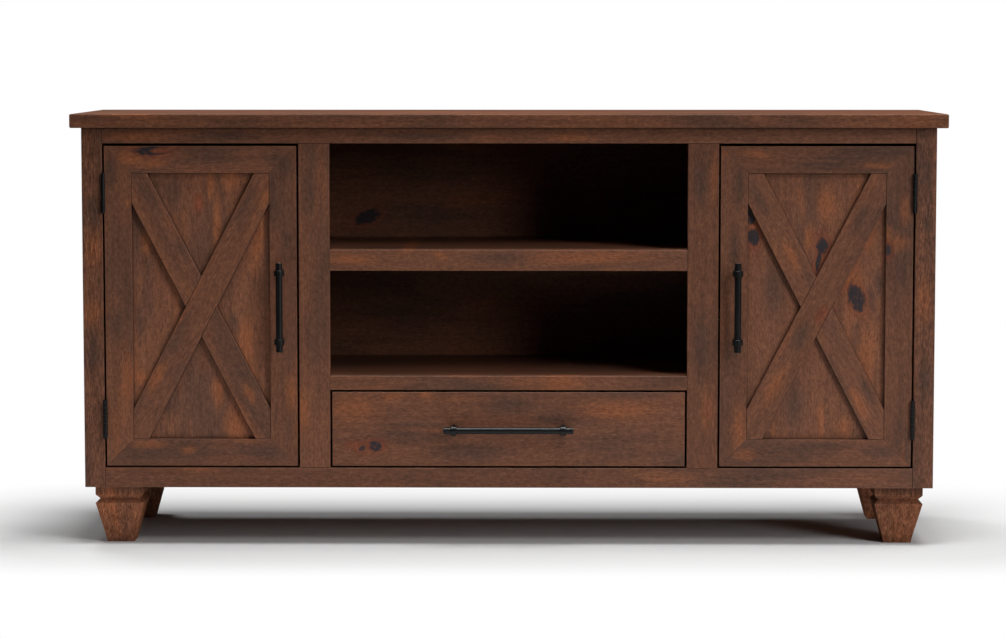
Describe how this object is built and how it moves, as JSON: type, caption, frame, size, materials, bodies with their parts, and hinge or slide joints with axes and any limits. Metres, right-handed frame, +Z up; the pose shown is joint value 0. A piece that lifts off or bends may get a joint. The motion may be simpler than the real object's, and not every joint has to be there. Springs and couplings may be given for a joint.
{
  "type": "tv console",
  "caption": "Low wooden media cabinet on tapered feet, with X-braced doors on butt hinges, open bays between them and a drawer on telescopic slides.",
  "frame": {"origin": "on the floor, under the middle of the whole object's box, pulls included", "axes": "+X to the right seen from the front, +Y to the back, +Z up; the doors and the drawer face -Y"},
  "size_m": [1.6256, 0.449, 0.808],
  "materials": {
    "stained_wood": "satin red-brown stain over knotty wood",
    "drawer_box_wood": "clear satin lacquer over pale wood",
    "black_metal": "satin black",
    "zinc_steel": "zinc plated"
  },
  "bodies": {
    "case": {"top_panel": "stained_wood", "top_rail": "stained_wood", "bottom_rail": "stained_wood", "left_outer_stile": "stained_wood", "right_outer_stile": "stained_wood", "left_inner_stile": "stained_wood", "right_inner_stile": "stained_wood", "middle_shelf": "stained_wood", "drawer_deck": "stained_wood", "left_side_panel": "stained_wood", "right_side_panel": "stained_wood", "left_partition": "stained_wood", "right_partition": "stained_wood", "bottom_panel": "stained_wood", "back_panel": "stained_wood", "left_front_foot": "stained_wood", "right_front_foot": "stained_wood", "left_back_foot": "stained_wood", "right_back_foot": "stained_wood", "left_inner_shelf": "stained_wood", "right_inner_shelf": "stained_wood", "left_door_catch": "zinc_steel", "right_door_catch": "zinc_steel", "left_lower_hinge_frame_leaf": "black_metal", "left_upper_hinge_frame_leaf": "black_metal", "right_lower_hinge_frame_leaf": "black_metal", "right_upper_hinge_frame_leaf": "black_metal", "left_slide_case_member": "zinc_steel", "right_slide_case_member": "zinc_steel"},
    "left_door": {"left_door_hinge_stile": "stained_wood", "left_door_latch_stile": "stained_wood", "left_door_top_rail": "stained_wood", "left_door_bottom_rail": "stained_wood", "left_door_panel": "stained_wood", "left_door_long_brace": "stained_wood", "left_door_upper_brace": "stained_wood", "left_door_lower_brace": "stained_wood", "left_door_pull": "black_metal", "left_lower_hinge_door_leaf": "black_metal", "left_upper_hinge_door_leaf": "black_metal"},
    "right_door": {"right_door_hinge_stile": "stained_wood", "right_door_latch_stile": "stained_wood", "right_door_top_rail": "stained_wood", "right_door_bottom_rail": "stained_wood", "right_door_panel": "stained_wood", "right_door_long_brace": "stained_wood", "right_door_upper_brace": "stained_wood", "right_door_lower_brace": "stained_wood", "right_door_pull": "black_metal", "right_lower_hinge_door_leaf": "black_metal", "right_upper_hinge_door_leaf": "black_metal"},
    "drawer": {"drawer_front": "stained_wood", "drawer_box_front": "drawer_box_wood", "drawer_box_back": "drawer_box_wood", "drawer_box_bottom": "drawer_box_wood", "drawer_box_left_side": "drawer_box_wood", "drawer_box_right_side": "drawer_box_wood", "left_slide_drawer_member": "zinc_steel", "right_slide_drawer_member": "zinc_steel", "drawer_pull": "black_metal"}
  },
  "joints": [
    {"name": "left_door_hinge", "type": "hinge", "parent": "case", "child": "left_door", "pos_m": [-0.75375, -0.1938, 0.4493], "axis": [0, 0, -1], "range_deg": [0, 180]},
    {"name": "right_door_hinge", "type": "hinge", "parent": "case", "child": "right_door", "pos_m": [0.75375, -0.1938, 0.4493], "axis": [0, 0, 1], "range_deg": [0, 180]},
    {"name": "drawer_slide", "type": "slide", "parent": "case", "child": "drawer", "axis": [0, -1, 0], "range_m": [0, 0.26]}
  ]
}
